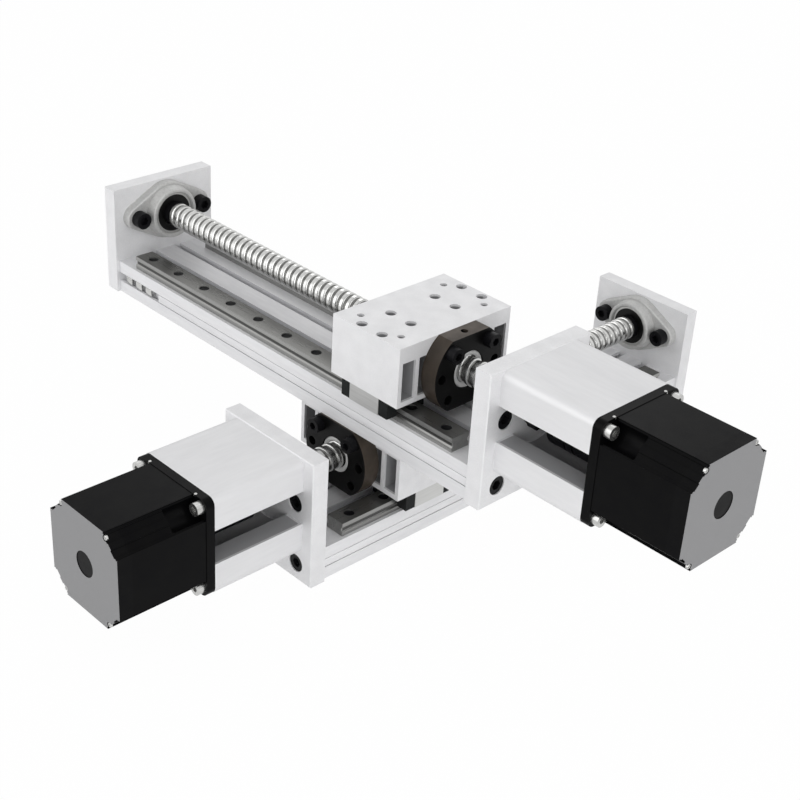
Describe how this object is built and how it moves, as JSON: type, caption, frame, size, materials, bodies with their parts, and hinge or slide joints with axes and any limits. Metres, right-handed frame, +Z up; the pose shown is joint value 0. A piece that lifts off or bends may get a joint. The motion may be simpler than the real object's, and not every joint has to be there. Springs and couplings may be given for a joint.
{
  "type": "xy cross slide table",
  "caption": "Two stacked ball screw slide modules, one set square across the other's carriage, each with profile rails, a flange bearing at one end and a square motor at the other.",
  "frame": {"origin": "middle of the underside of the lower base extrusion", "axes": "+Z up, square to the lower base's underside; -Y along the lower module's travel towards its motor; +X along the upper module's travel towards its motor"},
  "size_m": [0.432, 0.432, 0.143],
  "materials": {
    "extrusion": "satin, anodised silver",
    "machined_aluminium": "satin, brushed, anodised silver",
    "rail_steel": "ground grey",
    "block_steel": "ground",
    "bearing_steel": "bright, ground",
    "bright_screws": "bright",
    "dark_screws": "black oxide",
    "dark_anodised": "black anodised aluminium",
    "nut_steel": "dark phosphate, slightly oily",
    "cast_housing": "matte grey casting",
    "seal": "matte black",
    "cap_plastic": "moulded black",
    "motor_black": "black, slightly glossy",
    "motor_grey": "dull grey"
  },
  "bodies": {
    "base": {"lower_base_extrusion": "extrusion", "lower_rail_left": "rail_steel", "lower_rail_right": "rail_steel", "lower_rail_screws": "dark_screws", "lower_rear_plate": "machined_aluminium", "lower_front_plate": "machined_aluminium", "lower_frame_screws": "bright_screws", "lower_flange_bearing_housing": "cast_housing", "lower_flange_bearing_outer_ring": "seal", "lower_flange_bolts": "dark_screws", "lower_front_bearing_outer_rings": "bearing_steel", "lower_bearing_cover": "machined_aluminium", "lower_motor_bracket": "machined_aluminium", "lower_motor_flange": "motor_black", "lower_motor_body": "motor_black", "lower_motor_end_cover": "motor_grey", "lower_motor_screws": "bright_screws"},
    "lower_screw": {"lower_ball_screw": "bearing_steel", "lower_flange_bearing_inner_ring": "bearing_steel", "lower_front_bearing_inner_rings": "bearing_steel", "lower_lock_nut": "dark_screws", "lower_shaft_coupling": "dark_anodised", "lower_motor_shaft": "bearing_steel"},
    "cross": {"lower_carriage": "machined_aluminium", "lower_rail_block_left": "block_steel", "lower_rail_block_right": "block_steel", "lower_rail_block_caps": "cap_plastic", "lower_rail_block_screws": "bright_screws", "lower_ball_nut": "nut_steel", "lower_nut_screws": "dark_screws", "upper_base_extrusion": "extrusion", "upper_rail_left": "rail_steel", "upper_rail_right": "rail_steel", "upper_rail_screws": "dark_screws", "upper_rear_plate": "machined_aluminium", "upper_front_plate": "machined_aluminium", "upper_frame_screws": "bright_screws", "upper_flange_bearing_housing": "cast_housing", "upper_flange_bearing_outer_ring": "seal", "upper_flange_bolts": "dark_screws", "upper_front_bearing_outer_rings": "bearing_steel", "upper_bearing_cover": "machined_aluminium", "upper_motor_bracket": "machined_aluminium", "upper_motor_flange": "motor_black", "upper_motor_body": "motor_black", "upper_motor_end_cover": "motor_grey", "upper_motor_screws": "bright_screws"},
    "upper_screw": {"upper_ball_screw": "bearing_steel", "upper_flange_bearing_inner_ring": "bearing_steel", "upper_front_bearing_inner_rings": "bearing_steel", "upper_lock_nut": "dark_screws", "upper_shaft_coupling": "dark_anodised", "upper_motor_shaft": "bearing_steel"},
    "table": {"upper_carriage": "machined_aluminium", "upper_rail_block_left": "block_steel", "upper_rail_block_right": "block_steel", "upper_rail_block_caps": "cap_plastic", "upper_rail_block_screws": "bright_screws", "upper_ball_nut": "nut_steel", "upper_nut_screws": "dark_screws"}
  },
  "joints": [
    {"name": "lower_screw_spin", "type": "hinge", "parent": "base", "child": "lower_screw", "pos_m": [0, 0, 0.047], "axis": [0, -1, 0], "range_deg": [-1729, 12673]},
    {"name": "lower_slide", "type": "slide", "parent": "base", "child": "cross", "axis": [0, -1, 0], "range_m": [-0.176, 0.024]},
    {"name": "upper_screw_spin", "type": "hinge", "parent": "cross", "child": "upper_screw", "pos_m": [-0.053, -0.078, 0.114], "axis": [1, 0, 0], "range_deg": [-1729, 12673]},
    {"name": "upper_slide", "type": "slide", "parent": "cross", "child": "table", "axis": [1, 0, 0], "range_m": [-0.176, 0.024]}
  ],
  "couplings": [
    {"joint": "lower_screw_spin", "follows": "lower_slide", "rad_per_m": -1256.6},
    {"joint": "upper_screw_spin", "follows": "upper_slide", "rad_per_m": -1256.6}
  ]
}
